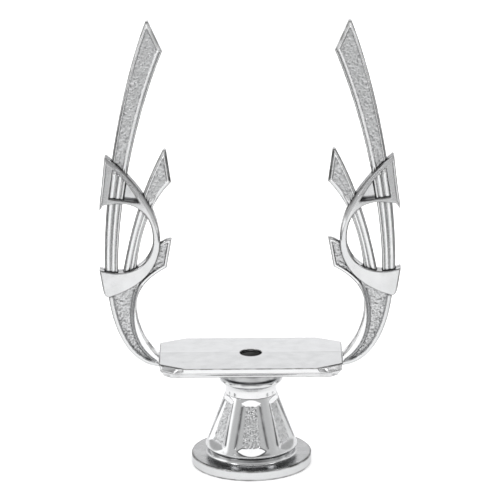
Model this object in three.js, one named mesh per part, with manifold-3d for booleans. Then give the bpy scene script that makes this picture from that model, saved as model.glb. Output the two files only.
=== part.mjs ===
// Winged display riser: a round foot and a panelled pedestal carry a hollow eight-sided platform,
// and two feathered arms rise from the platform's ends. Millimetres, +Z up, the arms in the XZ plane.
// The origin is the centre of the foot's underside, on the axis of the rod bore.

import * as THREE from "three";
import { ConvexGeometry } from "three/addons/geometries/ConvexGeometry.js";
import { mergeVertices } from "three/addons/utils/BufferGeometryUtils.js";
import Module from "manifold-3d";

const wasm = await Module();
wasm.setup();

// Driving dimensions, in millimetres. Each [u, z] pair is a point in an arm's own plane:
// u is the distance out from the pedestal's axis, and z the height above the foot's underside.

const GAP = 0.3; // clearance between pieces that touch
const ROUND_STEPS = 36; // facets round a large turned piece
const FINE_STEPS = 24; // facets round a bore
const PIN_STEPS = 12; // facets round a pin or a screw
const CURVE_STEPS = 9; // segments of each curve in an outline

const ROD_BORE_RADIUS = 3.6; // clears a quarter-inch threaded rod
const TIE_TUBE_RADIUS = 5.0;

const FOOT = {
  radius: 19.85,
  thickness: 3.5,
  edge: 0.5, // chamfer of the top and bottom edges
  seatRadius: 14.2, // raised ring that the pedestal stands on
  seatTop: 5.4,
  nutWellRadius: 8.3,
  nutWellTop: 4.2,
  hubRadius: 10,
  rimInnerRadius: 17.6,
  hollowTop: 1.6, // roof of the ring-shaped hollow under the foot
};

const PEDESTAL = {
  bottom: 5.7,
  widest: 6.3,
  top: 24.4,
  bottomRadius: 15.2,
  topRadius: 8.6,
  lipRadius: 14.6, // underside of the rounded bottom lip
  innerBottomRadius: 11.0,
  innerTopRadius: 6.1,
};
const PANELS = {
  count: 6,
  reach: 4, // how far past the cone the cutter runs, as a multiple of the bevel
};
// The flat floor of a panel is a trapezoid, and its bevelled sides run out to the ribs, which keep
// about the same width all the way up. edgeAngle is in degrees, from a panel's middle to its rib.
const PANEL_ENDS = [
  { z: 8.2, halfWidth: 3.2, depth: 13.0, edgeZ: 7.8, edgeAngle: 22.8 },
  { z: 21.9, halfWidth: 1.8, depth: 8.3, edgeZ: 23.2, edgeAngle: 18.0 },
];

const CAPITAL = {
  spigotRadius: 5.8,
  spigotBottom: 23.0,
  bottom: 24.7,
  neckRadius: 8.55,
  flareBottom: 26.6,
  flareTop: 28.8,
  flareSteps: 4,
  rimRadius: 10.5,
  rimTop: 30.2,
  throatRadius: 9.6,
  throatBottom: 30.7,
};

const PLATFORM = { bottom: 34.1, split: 35.9, top: 37.8 };
// The platform's outline at its underside, its parting line and its top: the corners are cut off
// more and more towards the top.
const UNDERSIDE = { halfLength: 28.6, halfDepth: 14.8, cornerX: 2.4, cornerY: 2.2 };
const PARTING = { halfLength: 29.7, halfDepth: 15.8, cornerX: 4.6, cornerY: 3.4 };
const TABLE = { halfLength: 30.0, halfDepth: 16.0, cornerX: 8.5, cornerY: 4.8 };
const HOLLOW = { halfLength: 28.0, halfDepth: 14.2, cornerX: 8.0, cornerY: 4.6 };
const FLOOR_TOP = 35.2; // floor of the platform's hollow
const SKIN_BOTTOM = 37.0; // roof of the platform's hollow

const SCREW = { x: 21.5, y: 9.0, headRadius: 1.8, headHeight: 0.6, shankRadius: 0.95, top: 36.6 };
const SCREW_BOSS_RADIUS = 2.6;
const SCREW_WELL_TOP = 34.9;

const TIE_FLANGE = { radius: 7.4, bottom: 35.5, top: 36.6 };
const TIE_TUBE_BOTTOM = 0.5;
const TIE_WASHER = { radius: 7.6, bottom: 3.1, top: 3.9 };
const TIE_NUT = { cornerRadius: 7.4, bottom: 0.6, top: 2.8 };

const TANG = { inner: 19.5, outer: 31.0, bottom: 34.9, top: 36.7, halfDepth: 2.4 };
const TANG_PEG = { u: 23.6, radius: 1.2, bottom: 34.4, top: 36.6 };

// Half thicknesses of the arm's layers, either side of the XZ plane.
const FEATHER_HALF = 1.3;
const STEM_HALF = 2.4;
const WEB_HALF = 0.9; // the floor of every stippled panel and groove
const CRESCENT_HALF = 2.6;
const CRESCENT_BEVEL = { depth: 0.6, width: 0.6 };

const RIM = 1.15; // raised border round a feather's stippled panel
const GROOVE_PLACES = [1 / 3, 2 / 3]; // across a quill, from its outer edge
const GROOVE_SHARE = 0.08; // a groove's width as a share of the quill's

// A feather's edges are Bezier curves that run upwards from its foot. The tip is the other end of
// the short edge that blunts the outer edge's top.
const LONG_FEATHER = {
  outer: [[47.2, 62.8], [48.2, 90.0], [42.0, 126.0], [32.9, 150.0]],
  inner: [[43.0, 62.8], [43.6, 85.0], [37.3, 117.0], [27.7, 140.1]],
  tip: [32.1, 150.0],
  panelBottom: 104,
  grooveEnd: 0.45,
};
const SHORT_FEATHER = {
  outer: [[41.6, 64.8], [39.4, 77.0], [35.9, 92.0], [27.7, 107.4]],
  inner: [[37.2, 64.8], [36.4, 78.0], [31.9, 90.2], [25.4, 96.5]],
  tip: [26.9, 107.4],
  panelBottom: 92,
  grooveEnd: 0.52,
};

const STEM = {
  rootBottom: [30.1, 33.6],
  outerCurve: [[38.5, 34.2], [45.0, 43.5]],
  outerTop: [46.5, 60.0],
  // Inside the crescent, where it isn't seen.
  tongue: [[46.6, 62.1], [41.0, 62.1], [37.3, 63.8], [34.0, 66.6], [31.6, 70.0], [30.5, 73.5], [30.4, 75.2]],
  spurTop: [29.0, 76.0],
  spurTopCurve: [27.4, 77.4],
  spurTip: [25.4, 77.4],
  spurCorner: [27.2, 67.4],
  sweepCurve: [[33.5, 64.0], [36.9, 60.0]],
  waist: [37.1, 55.0],
  innerCurve: [[37.4, 48.0], [33.5, 40.5]],
  rootTop: [30.1, 37.6],
};
const STEM_PANEL = {
  outerTop: [44.9, 57.0],
  outerCurve: [[44.0, 50.5], [42.0, 45.0]],
  point: [37.4, 40.2],
  innerCurve: [[39.8, 46.0], [39.8, 51.5]],
  innerTop: [38.2, 57.6],
};
const SPUR_PANEL = [[29.6, 73.6], [26.9, 75.0], [28.1, 69.0], [31.0, 67.4]];

const CRESCENT = {
  crestTop: [46.1, 105.1],
  backCurve: [[39.2, 99.9], [29.2, 88.0]],
  back: [29.2, 77.0],
  bellyCurve: [[29.2, 67.0], [36.5, 60.5]],
  heel: [46.4, 57.8],
  heelCurve: [47.7, 58.0],
  heelSide: [48.1, 61.0],
  lowerHorn: [49.1, 67.2],
  lowerInnerCurve: [[41.5, 64.2], [31.5, 67.3]],
  innerBack: [31.5, 77.5],
  upperInnerCurve: [[31.5, 87.0], [38.0, 91.5]],
  upperInner: [47.6, 89.0],
  upperHorn: [48.7, 87.3],
  crestFoot: [48.6, 90.0],
  crestSideCurve: [47.6, 97.0],
  crestSide: [46.9, 104.4],
};
const WINDOW = {
  top: [44.1, 101.2],
  outerFoot: [45.6, 91.3],
  innerFoot: [35.8, 90.0],
  slopeCurve: [40.0, 97.8],
};

const PIN = { radius: 0.6, halfLength: 1.9 };
const PIN_HOLE = { radius: 0.9, halfLength: 2.15 };
const STEM_PIN = [43.4, 60.4];
const LONG_FEATHER_PIN = [45.1, 64.5];
const SHORT_FEATHER_PIN = [34.1, 89.2];

const FAR = 60; // longer than any cut needs

// Solids

// A closed three.js geometry as a manifold-3d solid.
function solid(geometry) {
  const bare = geometry.clone();
  bare.deleteAttribute("normal");
  bare.deleteAttribute("uv");
  const merged = mergeVertices(bare, 1e-4);
  return new wasm.Manifold(
    new wasm.Mesh({
      numProp: 3,
      vertProperties: merged.attributes.position.array,
      triVerts: new Uint32Array(merged.index.array),
    }),
  );
}

// A manifold-3d solid as a three.js geometry.
function geometryOf(made) {
  const mesh = made.getMesh();
  const geometry = new THREE.BufferGeometry();
  geometry.setAttribute("position", new THREE.BufferAttribute(mesh.vertProperties, mesh.numProp));
  geometry.setIndex(new THREE.BufferAttribute(mesh.triVerts, 1));
  geometry.computeVertexNormals();
  return geometry;
}

function cut(made, ...cutters) {
  return cutters.reduce((left, cutter) => left.subtract(cutter), made);
}

function joined(...solids) {
  return solids.reduce((left, right) => left.add(right));
}

// A piece turned round the Z axis from a closed profile of [radius, z] points.
function turned(profile, steps = ROUND_STEPS) {
  const points = [...profile, profile[0]].map(([radius, z]) => new THREE.Vector2(radius, z));
  return solid(new THREE.LatheGeometry(points, steps).rotateX(Math.PI / 2));
}

// An upright cylinder on the Z axis.
function drum(radius, bottom, top, steps = FINE_STEPS) {
  const geometry = new THREE.CylinderGeometry(radius, radius, top - bottom, steps);
  return solid(geometry.rotateX(Math.PI / 2).translate(0, 0, (bottom + top) / 2));
}

// A box between two corners, in any order.
function block(fromX, toX, fromY, toY, fromZ, toZ) {
  const geometry = new THREE.BoxGeometry(Math.abs(toX - fromX), Math.abs(toY - fromY), Math.abs(toZ - fromZ));
  return solid(geometry.translate((fromX + toX) / 2, (fromY + toY) / 2, (fromZ + toZ) / 2));
}

// An outline in the XZ plane as a slab between two values of Y.
function slab(points, lowY, highY) {
  const geometry = new THREE.ExtrudeGeometry(new THREE.Shape(points), {
    depth: highY - lowY,
    bevelEnabled: false,
  });
  return solid(geometry.translate(0, 0, -highY).rotateX(Math.PI / 2));
}

function plate(points, half) {
  return slab(points, -half, half);
}

// A plate with any number of holes, whose edges are bevelled on both faces.
function bevelledPlate(points, holes, half, bevel) {
  const shape = new THREE.Shape(points);
  shape.holes = holes.map((hole) => new THREE.Path(hole));
  const geometry = new THREE.ExtrudeGeometry(shape, {
    depth: 2 * (half - bevel.depth),
    bevelThickness: bevel.depth,
    bevelSize: bevel.width,
    bevelOffset: -bevel.width,
    bevelSegments: 2,
  });
  return solid(geometry.translate(0, 0, bevel.depth - half).rotateX(Math.PI / 2));
}

// Cutters that sink a panel or a groove into both faces of a plate, down to its web.
function pockets(points) {
  return [slab(points, WEB_HALF, FAR), slab(points, -FAR, -WEB_HALF)];
}

// A round pin or hole along Y, at a point of the arm's plane.
function crossPin([u, z], side, { radius, halfLength }) {
  const geometry = new THREE.CylinderGeometry(radius, radius, 2 * halfLength, PIN_STEPS);
  return solid(geometry.translate(side * u, 0, z));
}

// Outlines

// The points of a closed path, each once.
function trace(path) {
  const points = path.getPoints(CURVE_STEPS);
  const closed = points[0].distanceTo(points[points.length - 1]) < 1e-6;
  return closed ? points.slice(0, -1) : points;
}

// An outline moved outward by a distance, with mitred corners; a negative distance moves it inward.
function offset(points, distance) {
  const outward = THREE.ShapeUtils.isClockWise(points) ? -1 : 1;
  const normal = (a, b) => new THREE.Vector2(b.y - a.y, a.x - b.x).normalize();
  return points.map((here, i) => {
    const before = points[(i + points.length - 1) % points.length];
    const after = points[(i + 1) % points.length];
    const mitre = normal(before, here).add(normal(here, after));
    return here.clone().addScaledVector(mitre, (2 * outward * distance) / mitre.lengthSq());
  });
}

// The outline on the arm's own side: side is 1 on +X and -1 on -X.
function onSide(points, side) {
  return points.map((point) => new THREE.Vector2(side * point.x, point.y));
}

function bezier(points) {
  return new THREE.CubicBezierCurve(...points.map((point) => new THREE.Vector2(...point)));
}

// A feather's outer side from its foot upwards, and its inner side back down.
function featherSides(feather) {
  const outer = bezier(feather.outer).getPoints(CURVE_STEPS);
  const inner = bezier(feather.inner).getPoints(CURVE_STEPS);
  return [outer, inner.reverse()];
}

function featherOutline(feather) {
  const [outer, inner] = featherSides(feather);
  return [...outer, new THREE.Vector2(...feather.tip), ...inner];
}

// The raised border's inner edge, as far down as the panel goes.
function featherPanel(feather) {
  return offset(featherSides(feather).flat(), -RIM).filter((point) => point.y > feather.panelBottom);
}

// A narrow strip that runs up a quill, at a share of the way across it.
function grooveOutline(feather, place) {
  const outer = bezier(feather.outer);
  const inner = bezier(feather.inner);
  const line = (share) =>
    Array.from({ length: CURVE_STEPS + 1 }, (_, i) => {
      const t = (i / CURVE_STEPS) * feather.grooveEnd;
      return outer.getPoint(t).lerp(inner.getPoint(t), share);
    });
  return [...line(place - GROOVE_SHARE / 2), ...line(place + GROOVE_SHARE / 2).reverse()];
}

function stemOutline() {
  const path = new THREE.Path();
  path.moveTo(...STEM.rootBottom);
  path.bezierCurveTo(...STEM.outerCurve.flat(), ...STEM.outerTop);
  STEM.tongue.forEach((point) => path.lineTo(...point));
  path.lineTo(...STEM.spurTop);
  path.quadraticCurveTo(...STEM.spurTopCurve, ...STEM.spurTip);
  path.lineTo(...STEM.spurCorner);
  path.bezierCurveTo(...STEM.sweepCurve.flat(), ...STEM.waist);
  path.bezierCurveTo(...STEM.innerCurve.flat(), ...STEM.rootTop);
  return trace(path);
}

function stemPanelOutline() {
  const path = new THREE.Path();
  path.moveTo(...STEM_PANEL.outerTop);
  path.bezierCurveTo(...STEM_PANEL.outerCurve.flat(), ...STEM_PANEL.point);
  path.bezierCurveTo(...STEM_PANEL.innerCurve.flat(), ...STEM_PANEL.innerTop);
  return trace(path);
}

function crescentOutline() {
  const path = new THREE.Path();
  path.moveTo(...CRESCENT.crestTop);
  path.bezierCurveTo(...CRESCENT.backCurve.flat(), ...CRESCENT.back);
  path.bezierCurveTo(...CRESCENT.bellyCurve.flat(), ...CRESCENT.heel);
  path.quadraticCurveTo(...CRESCENT.heelCurve, ...CRESCENT.heelSide);
  path.lineTo(...CRESCENT.lowerHorn);
  path.bezierCurveTo(...CRESCENT.lowerInnerCurve.flat(), ...CRESCENT.innerBack);
  path.bezierCurveTo(...CRESCENT.upperInnerCurve.flat(), ...CRESCENT.upperInner);
  path.lineTo(...CRESCENT.upperHorn);
  path.lineTo(...CRESCENT.crestFoot);
  path.quadraticCurveTo(...CRESCENT.crestSideCurve, ...CRESCENT.crestSide);
  return trace(path);
}

function windowOutline() {
  const path = new THREE.Path();
  path.moveTo(...WINDOW.top);
  path.lineTo(...WINDOW.outerFoot);
  path.lineTo(...WINDOW.innerFoot);
  path.quadraticCurveTo(...WINDOW.slopeCurve, ...WINDOW.top);
  return trace(path);
}

// The corners of a rectangle with its own corners cut off, at a height.
function octagon({ halfLength, halfDepth, cornerX, cornerY }, z) {
  const flatX = halfLength - cornerX;
  const flatY = halfDepth - cornerY;
  return [
    [flatX, -halfDepth], [halfLength, -flatY], [halfLength, flatY], [flatX, halfDepth],
    [-flatX, halfDepth], [-halfLength, flatY], [-halfLength, -flatY], [-flatX, -halfDepth],
  ].map(([x, y]) => new THREE.Vector3(x, y, z));
}

// The solid between one octagon and another above it.
function tier(lower, bottom, upper, top) {
  return solid(new ConvexGeometry([...octagon(lower, bottom), ...octagon(upper, top)]));
}

// Pedestal

function footFlange() {
  const { radius, thickness, edge } = FOOT;
  return turned([
    [TIE_TUBE_RADIUS + GAP, FOOT.nutWellTop],
    [FOOT.nutWellRadius, FOOT.nutWellTop],
    [FOOT.nutWellRadius, 0],
    [FOOT.hubRadius, 0],
    [FOOT.hubRadius, FOOT.hollowTop],
    [FOOT.rimInnerRadius, FOOT.hollowTop],
    [FOOT.rimInnerRadius, 0],
    [radius - edge, 0],
    [radius, edge],
    [radius, thickness - edge],
    [radius - edge, thickness],
    [FOOT.seatRadius, thickness],
    [FOOT.seatRadius, FOOT.seatTop],
    [TIE_TUBE_RADIUS + GAP, FOOT.seatTop],
  ]);
}

function coneRadius(z) {
  const share = (z - PEDESTAL.widest) / (PEDESTAL.top - PEDESTAL.widest);
  return THREE.MathUtils.lerp(PEDESTAL.bottomRadius, PEDESTAL.topRadius, share);
}

// The cutter for the panel that faces -Y: the floor's corners, and points out along its bevels.
function panelCutter() {
  const corners = [];
  for (const { z, halfWidth, depth, edgeZ, edgeAngle } of PANEL_ENDS) {
    const radius = coneRadius(edgeZ);
    const turn = THREE.MathUtils.degToRad(edgeAngle);
    for (const side of [-1, 1]) {
      const floor = new THREE.Vector3(side * halfWidth, -depth, z);
      const ribX = side * radius * Math.sin(turn);
      const rib = new THREE.Vector3(ribX, -radius * Math.cos(turn), edgeZ);
      corners.push(floor, rib.sub(floor).multiplyScalar(PANELS.reach).add(floor));
    }
  }
  return new ConvexGeometry(corners);
}

function pedestalShell() {
  const cone = turned([
    [PEDESTAL.innerBottomRadius, PEDESTAL.bottom],
    [PEDESTAL.lipRadius, PEDESTAL.bottom],
    [PEDESTAL.bottomRadius, PEDESTAL.widest],
    [PEDESTAL.topRadius, PEDESTAL.top],
    [PEDESTAL.innerTopRadius, PEDESTAL.top],
  ]);
  const cutters = Array.from({ length: PANELS.count }, (_, i) =>
    solid(panelCutter().rotateZ((i * 2 * Math.PI) / PANELS.count)),
  );
  return cut(cone, ...cutters);
}

function capital() {
  const bore = TIE_TUBE_RADIUS + GAP;
  const reach = CAPITAL.rimRadius - CAPITAL.neckRadius;
  const height = CAPITAL.flareTop - CAPITAL.flareBottom;
  const flare = Array.from({ length: CAPITAL.flareSteps + 1 }, (_, step) => {
    const turn = (step / CAPITAL.flareSteps) * (Math.PI / 2);
    return [
      CAPITAL.neckRadius + reach * (1 - Math.cos(turn)),
      CAPITAL.flareBottom + height * Math.sin(turn),
    ];
  });
  return turned([
    [bore, CAPITAL.spigotBottom],
    [CAPITAL.spigotRadius, CAPITAL.spigotBottom],
    [CAPITAL.spigotRadius, CAPITAL.bottom],
    [CAPITAL.neckRadius, CAPITAL.bottom],
    ...flare,
    [CAPITAL.rimRadius, CAPITAL.rimTop],
    [CAPITAL.throatRadius, CAPITAL.throatBottom],
    [CAPITAL.throatRadius, PLATFORM.bottom - GAP],
    [bore, PLATFORM.bottom - GAP],
  ]);
}

function tieTube() {
  return turned([
    [ROD_BORE_RADIUS, TIE_TUBE_BOTTOM],
    [TIE_TUBE_RADIUS, TIE_TUBE_BOTTOM],
    [TIE_TUBE_RADIUS, TIE_FLANGE.bottom],
    [TIE_FLANGE.radius, TIE_FLANGE.bottom],
    [TIE_FLANGE.radius, TIE_FLANGE.top],
    [ROD_BORE_RADIUS, TIE_FLANGE.top],
  ], FINE_STEPS);
}

function tieWasher() {
  return turned([
    [TIE_TUBE_RADIUS + GAP, TIE_WASHER.bottom],
    [TIE_WASHER.radius, TIE_WASHER.bottom],
    [TIE_WASHER.radius, TIE_WASHER.top],
    [TIE_TUBE_RADIUS + GAP, TIE_WASHER.top],
  ], FINE_STEPS);
}

function tieNut() {
  const hexagon = drum(TIE_NUT.cornerRadius, TIE_NUT.bottom, TIE_NUT.top, 6);
  return cut(hexagon, drum(TIE_TUBE_RADIUS + GAP, 0, FAR));
}

// Platform

const SCREW_PLACES = [[-1, -1], [1, -1], [1, 1], [-1, 1]].map(([x, y]) => [x * SCREW.x, y * SCREW.y, 0]);

// The room that an arm's tang takes in the platform's end, clearance included.
function tangSocket(side) {
  const half = TANG.halfDepth + GAP;
  return block(side * (TANG.inner - GAP), side * FAR, -half, half, TANG.bottom - GAP, TANG.top + GAP);
}

function platformBase() {
  const top = PLATFORM.split - GAP / 2;
  const cuts = [
    tier(HOLLOW, FLOOR_TOP, HOLLOW, FAR),
    drum(TIE_TUBE_RADIUS + GAP, 0, FAR),
    tangSocket(-1),
    tangSocket(1),
  ];
  for (const place of SCREW_PLACES) {
    cuts.push(drum(SCREW.headRadius + GAP, 0, SCREW_WELL_TOP).translate(place));
    cuts.push(drum(SCREW.shankRadius + GAP, 0, FAR).translate(place));
  }
  const peg = drum(TANG_PEG.radius, TANG_PEG.bottom, TANG_PEG.top, PIN_STEPS);
  return joined(
    cut(tier(UNDERSIDE, PLATFORM.bottom, PARTING, top), ...cuts),
    peg.translate([-TANG_PEG.u, 0, 0]),
    peg.translate([TANG_PEG.u, 0, 0]),
  );
}

function platformTop() {
  const bottom = PLATFORM.split + GAP / 2;
  const bossBottom = FLOOR_TOP + GAP;
  const body = tier(PARTING, bottom, TABLE, PLATFORM.top);
  const shell = cut(body, tier(HOLLOW, 0, HOLLOW, SKIN_BOTTOM));
  const boss = drum(SCREW_BOSS_RADIUS, bossBottom, (SKIN_BOTTOM + PLATFORM.top) / 2);
  const hole = drum(SCREW.shankRadius + GAP, 0, SCREW.top + GAP);
  return cut(
    joined(shell, ...SCREW_PLACES.map((place) => boss.translate(place))),
    ...SCREW_PLACES.map((place) => hole.translate(place)),
    drum(ROD_BORE_RADIUS, 0, FAR),
    tangSocket(-1),
    tangSocket(1),
  );
}

function platformScrew(place) {
  const head = drum(SCREW.headRadius, PLATFORM.bottom, PLATFORM.bottom + SCREW.headHeight, PIN_STEPS);
  const shank = drum(SCREW.shankRadius, PLATFORM.bottom, SCREW.top, PIN_STEPS);
  return joined(head, shank).translate(place);
}

// Arms

function feather(shape, pinPlace, side) {
  const body = plate(onSide(featherOutline(shape), side), FEATHER_HALF);
  const grooves = GROOVE_PLACES.flatMap((place) => pockets(onSide(grooveOutline(shape, place), side)));
  const panels = pockets(onSide(featherPanel(shape), side));
  return cut(body, ...panels, ...grooves, crossPin(pinPlace, side, PIN_HOLE));
}

function armStem(side) {
  const outline = onSide(stemOutline(), side);
  const behindCrescent = plate(onSide(offset(crescentOutline(), GAP), side), FAR);
  const aboveWaist = block(-FAR, FAR, -FAR, FAR, STEM.outerTop[1], 3 * FAR);
  const thickStem = cut(plate(outline, STEM_HALF), behindCrescent, aboveWaist);
  const across = [side * TANG.inner, side * TANG.outer];
  const tang = block(...across, -TANG.halfDepth, TANG.halfDepth, TANG.bottom, TANG.top);
  const spurPanel = SPUR_PANEL.map((point) => new THREE.Vector2(...point));
  return cut(
    joined(plate(outline, FEATHER_HALF), thickStem, tang),
    ...pockets(onSide(stemPanelOutline(), side)),
    ...pockets(onSide(spurPanel, side)),
    drum(TANG_PEG.radius + GAP, 0, FAR).translate([side * TANG_PEG.u, 0, 0]),
    crossPin(STEM_PIN, side, PIN_HOLE),
  );
}

// One half of the crescent clasp. face is -1 for the front half and 1 for the back half, which has
// no window, so that it closes the crest behind the front half's window.
function crescentHalf(side, face) {
  const outline = onSide(crescentOutline(), side);
  const holes = face < 0 ? [onSide(windowOutline(), side)] : [];
  const whole = bevelledPlate(outline, holes, CRESCENT_HALF, CRESCENT_BEVEL);
  const otherHalf = block(-FAR, FAR, face * (GAP / 2), -face * FAR, 0, 3 * FAR);
  const roomFor = (points) => plate(onSide(offset(points, GAP), side), FEATHER_HALF + GAP);
  return cut(
    whole,
    otherHalf,
    roomFor(featherOutline(LONG_FEATHER)),
    roomFor(featherOutline(SHORT_FEATHER)),
    roomFor(stemOutline()),
    ...[STEM_PIN, LONG_FEATHER_PIN, SHORT_FEATHER_PIN].map((place) => crossPin(place, side, PIN_HOLE)),
  );
}

// Materials

const PLATED = { color: 0xd9dbdd, metalness: 1.0, roughness: 0.12 };
const STIPPLED = { color: 0xc6c8ca, metalness: 1.0, roughness: 0.35 };
const STEEL = { color: 0x9a9da0, metalness: 1.0, roughness: 0.4 };

// Assembly

const riser = new THREE.Group();

function add(name, made, look) {
  const mesh = new THREE.Mesh(geometryOf(made), new THREE.MeshStandardMaterial(look));
  mesh.name = name;
  riser.add(mesh);
}

add("foot_flange", footFlange(), PLATED);
add("pedestal_shell", pedestalShell(), STIPPLED);
add("capital", capital(), PLATED);
add("tie_tube", tieTube(), STEEL);
add("tie_washer", tieWasher(), STEEL);
add("tie_nut", tieNut(), STEEL);
add("platform_base", platformBase(), PLATED);
add("platform_top", platformTop(), PLATED);
SCREW_PLACES.forEach((place, i) => add(`platform_screw_${i + 1}`, platformScrew(place), STEEL));

for (const [prefix, side] of [["left", -1], ["right", 1]]) {
  add(`${prefix}_arm_stem`, armStem(side), STIPPLED);
  add(`${prefix}_long_feather`, feather(LONG_FEATHER, LONG_FEATHER_PIN, side), STIPPLED);
  add(`${prefix}_short_feather`, feather(SHORT_FEATHER, SHORT_FEATHER_PIN, side), STIPPLED);
  add(`${prefix}_crescent_front`, crescentHalf(side, -1), PLATED);
  add(`${prefix}_crescent_back`, crescentHalf(side, 1), PLATED);
  add(`${prefix}_stem_pin`, crossPin(STEM_PIN, side, PIN), STEEL);
  add(`${prefix}_long_feather_pin`, crossPin(LONG_FEATHER_PIN, side, PIN), STEEL);
  add(`${prefix}_short_feather_pin`, crossPin(SHORT_FEATHER_PIN, side, PIN), STEEL);
}

export default riser;
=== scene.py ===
"""Looks of the winged display riser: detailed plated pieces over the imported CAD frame.

Lengths are in millimetres while a shape is worked out, and become metres when its mesh is made.
Arm shapes are drawn in the arm's own plane, as points (u, z): u is the distance out from the
riser's axis and z the height. Each arm piece has the same relief on its front and its back.
"""

import math

import bpy
import bmesh
import numpy as np
from mathutils import Matrix, Vector
from mathutils.geometry import delaunay_2d_cdt


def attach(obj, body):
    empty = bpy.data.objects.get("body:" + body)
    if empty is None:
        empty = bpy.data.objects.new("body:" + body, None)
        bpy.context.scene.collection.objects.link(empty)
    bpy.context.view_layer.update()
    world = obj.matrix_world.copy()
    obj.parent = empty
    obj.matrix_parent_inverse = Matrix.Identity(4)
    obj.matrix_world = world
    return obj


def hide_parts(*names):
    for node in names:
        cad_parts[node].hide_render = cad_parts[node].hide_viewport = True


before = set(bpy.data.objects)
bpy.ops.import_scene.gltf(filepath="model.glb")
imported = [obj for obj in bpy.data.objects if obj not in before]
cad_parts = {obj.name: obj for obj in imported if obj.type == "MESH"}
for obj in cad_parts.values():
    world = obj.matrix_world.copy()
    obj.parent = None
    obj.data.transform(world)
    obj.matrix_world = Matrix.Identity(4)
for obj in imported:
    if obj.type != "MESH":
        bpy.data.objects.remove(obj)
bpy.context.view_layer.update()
MM = 0.001
rng = np.random.default_rng(11)

GAP = 0.3  # clearance between pieces that touch

# Curves, each a list of Bezier control points

LONG_OUTER = [(47.2, 62.8), (48.2, 90.0), (42.0, 126.0), (32.9, 150.0)]
LONG_INNER = [(43.0, 62.8), (43.6, 85.0), (37.3, 117.0), (27.7, 140.1)]
LONG_TIP = (32.1, 150.0)  # the other end of the short edge that blunts the tip
SHORT_OUTER = [(41.6, 64.8), (39.4, 77.0), (35.9, 92.0), (27.7, 107.4)]
SHORT_INNER = [(37.2, 64.8), (36.4, 78.0), (31.9, 90.2), (25.4, 96.5)]
SHORT_TIP = (26.9, 107.4)

STEM_OUTER = [(30.1, 33.6), (38.5, 34.2), (45.0, 43.5), (46.5, 60.0)]
STEM_TONGUE = [(46.5, 60.0), (46.6, 62.1), (41.0, 62.1), (37.3, 63.8), (34.0, 66.6), (31.6, 70.0),
               (30.5, 73.5), (30.4, 75.2), (29.0, 76.0)]
SPUR_TOP = [(29.0, 76.0), (27.4, 77.4), (25.4, 77.4)]
SPUR_TIP = [(25.4, 77.4), (27.2, 67.4)]
STEM_SWEEP = [(27.2, 67.4), (33.5, 64.0), (36.9, 60.0), (37.1, 55.0)]
STEM_INNER = [(37.1, 55.0), (37.4, 48.0), (33.5, 40.5), (30.1, 37.6)]
STEM_ROOT = [(30.1, 37.6), (30.1, 33.6)]
# The groove that parts the stem's bright inner rim from its web.
STEM_GROOVE = [(35.2, 64.5), (39.6, 55.5), (40.5, 42.4), (31.0, 35.8)]

CRESCENT_BACK = [(46.1, 105.1), (39.2, 99.9), (29.2, 88.0), (29.2, 77.0)]
CRESCENT_BELLY = [(29.2, 77.0), (29.2, 67.0), (36.5, 60.5), (46.4, 57.8)]
CRESCENT_HEEL = [(46.4, 57.8), (47.7, 58.0), (48.1, 61.0)]
CRESCENT_HORN = [(48.1, 61.0), (49.1, 67.2)]
CRESCENT_LOWER = [(49.1, 67.2), (41.5, 64.2), (31.5, 67.3), (31.5, 77.5)]
CRESCENT_UPPER = [(31.5, 77.5), (31.5, 87.0), (38.0, 91.5), (47.6, 89.0)]
CREST_BARB = [(47.6, 89.0), (48.7, 87.3)]
CREST_FOOT = [(48.7, 87.3), (48.6, 90.0)]
CREST_SIDE = [(48.6, 90.0), (47.6, 97.0), (46.9, 104.4)]
CREST_CORNER = [(46.9, 104.4), (46.8, 105.5), (46.1, 105.1)]
WINDOW_SIDE = [(44.1, 101.2), (45.6, 91.3)]
WINDOW_SILL = [(45.6, 91.3), (35.8, 90.0)]
WINDOW_SLOPE = [(35.8, 90.0), (40.0, 97.8), (44.1, 101.2)]

# Half thicknesses of the arm's layers
FEATHER_HALF = 1.3
STEM_HALF = 2.4
WEB_HALF = 0.85
CRESCENT_HALF = 2.6


# Curves and distances

def bezier(control, count):
    """Points along a Bezier curve of any degree."""
    t = np.linspace(0, 1, count)[:, None]
    level = [np.repeat(np.array([point], float), count, 0) for point in control]
    while len(level) > 1:
        level = [a * (1 - t) + b * t for a, b in zip(level, level[1:])]
    return level[0]


def evenly(line, spacing):
    """The same line with its points an even distance apart."""
    along = np.concatenate([[0], np.cumsum(np.linalg.norm(np.diff(line, axis=0), axis=1))])
    count = max(2, int(math.ceil(along[-1] / spacing)) + 1)
    places = np.linspace(0, along[-1], count)
    return np.stack([np.interp(places, along, line[:, k]) for k in range(2)], axis=1)


def run(control, spacing):
    return evenly(bezier(control, 200), spacing)


def polyline(points, spacing):
    """A run of straight stretches that keeps its corners."""
    parts = [evenly(np.array([a, b], float), spacing)[:-1] for a, b in zip(points, points[1:])]
    return np.concatenate(parts + [np.array([points[-1]], float)])


def closed(*runs):
    """One closed outline from runs that each start where the last one ends."""
    return np.concatenate([part[:-1] for part in runs])


def looped(outline):
    """An outline with its first point again at its end."""
    return np.concatenate([outline, outline[:1]])


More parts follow.
